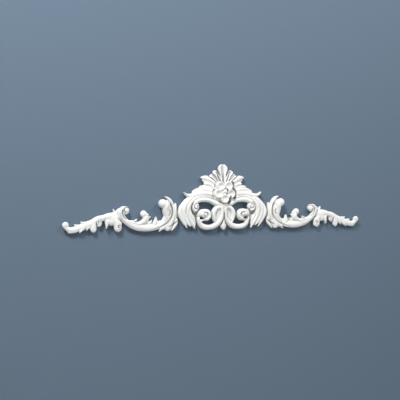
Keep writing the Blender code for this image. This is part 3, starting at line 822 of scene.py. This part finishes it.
def melted_skin():
    """Join the strokes, melt them into one skin, soften it and cut the grooves."""
    joined = bmesh.new()
    for item in strokes.objects:
        joined.from_mesh(item.data)
    mesh = bpy.data.meshes.new("strokes joined")
    joined.to_mesh(mesh)
    joined.free()
    item = scene_object("strokes joined", mesh)
    melt = item.modifiers.new("melt", "REMESH")
    melt.mode = "VOXEL"
    melt.voxel_size = VOXEL * MM
    soften = item.modifiers.new("soften", "SMOOTH")
    soften.factor = SMOOTH_PULL
    soften.iterations = SOFTENING
    cut = item.modifiers.new("gouge", "NODES")
    cut.node_group = gouge_tree()
    lines = groove_object()
    set_input(cut, "Grooves", lines)
    set_input(cut, "Foot Height", GROOVE_FOOT * MM)
    set_input(cut, "Full Height", GROOVE_FULL * MM)
    set_input(cut, "Material", cast_white)
    skin = evaluated_mesh(item)
    bpy.data.objects.remove(item)
    bpy.data.objects.remove(lines)
    return skin


def drawn_in(shape):
    """Draw the foot of the walls in, less where a leaf is thin, and let the flat back follow."""
    shape.normal_update()
    solid = BVHTree.FromBMesh(shape)
    moves = {}
    back = []
    for vert in shape.verts:
        height = -vert.co.y / MM
        sideways = Vector((vert.normal.x, 0.0, vert.normal.z))
        if vert.normal.y > BACK_FACING:
            back.append(vert)
        elif height < DRAFT_HEIGHT and vert.normal.y > FRONT_FACING:
            inward = -sideways.normalized()
            across = solid.ray_cast(vert.co + inward * PROBE_START * MM, inward)[3]
            most = min(FOOT_DRAFT * MM, THIN_SHARE * (across or 0.0))
            moves[vert] = inward * most * min(1.0, 1.0 - height / DRAFT_HEIGHT)
    for vert, move in moves.items():
        others = [edge.other_vert(vert) for edge in vert.link_edges]
        beside = [moves[other] for other in others if other in moves]
        vert.co += (move + sum(beside, Vector())) / (1 + len(beside))
    for _ in range(BACK_PASSES):
        bmesh.ops.smooth_vert(shape, verts=back, factor=SMOOTH_PULL, use_axis_x=True, use_axis_z=True)
    for vert in shape.verts:
        if vert.co.y > -FLAT_REACH * MM:
            vert.co.y = 0.0


def finished_skin(mesh):
    """Draw in the foot, thin out the mesh where it is flat, and shade it smooth but for its edges."""
    shape = bmesh.new()
    shape.from_mesh(mesh)
    drawn_in(shape)
    triangles = sum(len(facet.verts) - 2 for facet in shape.faces)
    shape.to_mesh(mesh)
    shape.free()
    item = scene_object("skin", mesh)
    thin = item.modifiers.new("thin out", "DECIMATE")
    thin.ratio = min(1.0, SKIN_TRIANGLES / triangles)
    mesh = evaluated_mesh(item)
    bpy.data.objects.remove(item)
    shape = bmesh.new()
    shape.from_mesh(mesh)
    for edge in shape.edges:
        edge.smooth = edge.calc_face_angle(0.0) < CRISP_ANGLE
    for facet in shape.faces:
        facet.smooth = True
    shape.to_mesh(mesh)
    shape.free()
    return mesh


skin = finished_skin(melted_skin())
skin.materials.clear()
skin.materials.append(cast_white)
casting = scene_object("pediment_cast", skin)
for item in list(strokes.objects):
    bpy.data.objects.remove(item)
bpy.data.collections.remove(strokes)
for item in section_objects.values():
    bpy.data.objects.remove(item)

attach(casting, "root")
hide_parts("pediment")

# Camera: as the photograph was taken, a little to the left of the ornament

CAMERA_AZIMUTH = math.radians(22.987)
CAMERA_DISTANCE = 2.2169    # metres, as are the sizes of the stage and the places of the lights
CAMERA_YAW = math.radians(-1.921)
CAMERA_PITCH = math.radians(0.58)
CAMERA_ROLL = math.radians(-0.725)
CAMERA_LENS = 57.74
CAMERA_SENSOR = 36.0


def photo_camera():
    """The camera of the photograph."""
    camera = scene_object("camera", bpy.data.cameras.new("camera"))
    camera.data.lens = CAMERA_LENS
    camera.data.sensor_width = CAMERA_SENSOR
    facing = CAMERA_AZIMUTH + CAMERA_YAW
    level = math.cos(CAMERA_PITCH)
    ahead = Vector((math.sin(facing) * level, math.cos(facing) * level, math.sin(CAMERA_PITCH)))
    right = Vector((math.cos(facing), -math.sin(facing), 0.0))
    up = right.cross(ahead)
    across = right * math.cos(CAMERA_ROLL) + up * math.sin(CAMERA_ROLL)
    upward = up * math.cos(CAMERA_ROLL) - right * math.sin(CAMERA_ROLL)
    place = Matrix((across, upward, -ahead)).transposed().to_4x4()
    aside = -math.sin(CAMERA_AZIMUTH) * CAMERA_DISTANCE
    before = -math.cos(CAMERA_AZIMUTH) * CAMERA_DISTANCE
    place.translation = (aside, before, 0.0)
    camera.matrix_world = place
    bpy.context.scene.camera = camera


photo_camera()

# Stage and light

WALL_COLOUR = "#607284"
WALL_ROUGHNESS = 0.8
WALL_PLACE = 0.0006         # a little behind the flat back, so that the two don't coincide
WALL_HALF_WIDTH = 4
WALL_TOP = 3
FLOOR_COLOUR = "#D8D6D0"
FLOOR_ROUGHNESS = 0.6
FLOOR_LEVEL = -0.9
FLOOR_HALF_WIDTH = 6
TOUCHING = 2 * MM           # light that starts this near to the wall passes through it
SKY_COLOUR = (0.80, 0.86, 0.93, 1.0)
SKY_STRENGTH = 0.12

# The plain transform keeps white primer white
bpy.context.scene.view_settings.view_transform = "Standard"


def plain(name, code, roughness, one_sided=False):
    """A plain painted surface for the stage."""
    material = bpy.data.materials.new(name)
    material.use_nodes = True
    tree = material.node_tree
    tree.nodes.clear()
    shader = add_node(tree, "ShaderNodeBsdfPrincipled", {
        "Base Color": linear(code), "Roughness": roughness,
    })
    surface = shader.outputs[0]
    if one_sided:
        # The wall is clear from behind, and lets light through to the back of the ornament on it
        behind = add_node(tree, "ShaderNodeNewGeometry").outputs["Backfacing"]
        reach = add_node(tree, "ShaderNodeLightPath").outputs["Ray Length"]
        near = add_node(tree, "ShaderNodeMath", {0: reach, 1: TOUCHING}, operation="LESS_THAN").outputs[0]
        away = add_node(tree, "ShaderNodeMath", {0: behind, 1: near}, operation="MAXIMUM").outputs[0]
        clear = add_node(tree, "ShaderNodeBsdfTransparent").outputs[0]
        surface = add_node(tree, "ShaderNodeMixShader", {0: away, 1: surface, 2: clear}).outputs[0]
    add_node(tree, "ShaderNodeOutputMaterial", {"Surface": surface})
    return material


def stage_sheet(name, corners, material):
    """A flat sheet of the stage."""
    mesh = bpy.data.meshes.new(name)
    mesh.from_pydata(corners, [], [(0, 1, 2, 3)])
    mesh.materials.append(material)
    item = scene_object(name, mesh)


stage_sheet("wall", [
    (-WALL_HALF_WIDTH, WALL_PLACE, FLOOR_LEVEL),
    (WALL_HALF_WIDTH, WALL_PLACE, FLOOR_LEVEL),
    (WALL_HALF_WIDTH, WALL_PLACE, WALL_TOP),
    (-WALL_HALF_WIDTH, WALL_PLACE, WALL_TOP),
], plain("painted wall", WALL_COLOUR, WALL_ROUGHNESS, one_sided=True))
stage_sheet("floor", [
    (-FLOOR_HALF_WIDTH, -FLOOR_HALF_WIDTH, FLOOR_LEVEL),
    (FLOOR_HALF_WIDTH, -FLOOR_HALF_WIDTH, FLOOR_LEVEL),
    (FLOOR_HALF_WIDTH, FLOOR_HALF_WIDTH, FLOOR_LEVEL),
    (-FLOOR_HALF_WIDTH, FLOOR_HALF_WIDTH, FLOOR_LEVEL),
], plain("floor", FLOOR_COLOUR, FLOOR_ROUGHNESS))


def area_light(name, place, side, power):
    """A square soft light pointed at the origin."""
    light = bpy.data.lights.new(name, "AREA")
    light.shape = "RECTANGLE"
    light.size = side
    light.size_y = side
    light.energy = power
    item = scene_object(name, light)
    item.location = place
    item.rotation_euler = (-Vector(place)).to_track_quat("-Z", "Y").to_euler()


area_light("key", (-1.6, -1.8, 2.5), side=0.8, power=108)
area_light("fill", (1.4, -2.1, 2.0), side=1.5, power=46)
area_light("behind", (0.6, 2.6, 1.0), side=2.4, power=60)

world = bpy.data.worlds.new("studio")
bpy.context.scene.world = world
world.use_nodes = True
sky = world.node_tree.nodes["Background"].inputs
sky["Color"].default_value = SKY_COLOUR
sky["Strength"].default_value = SKY_STRENGTH
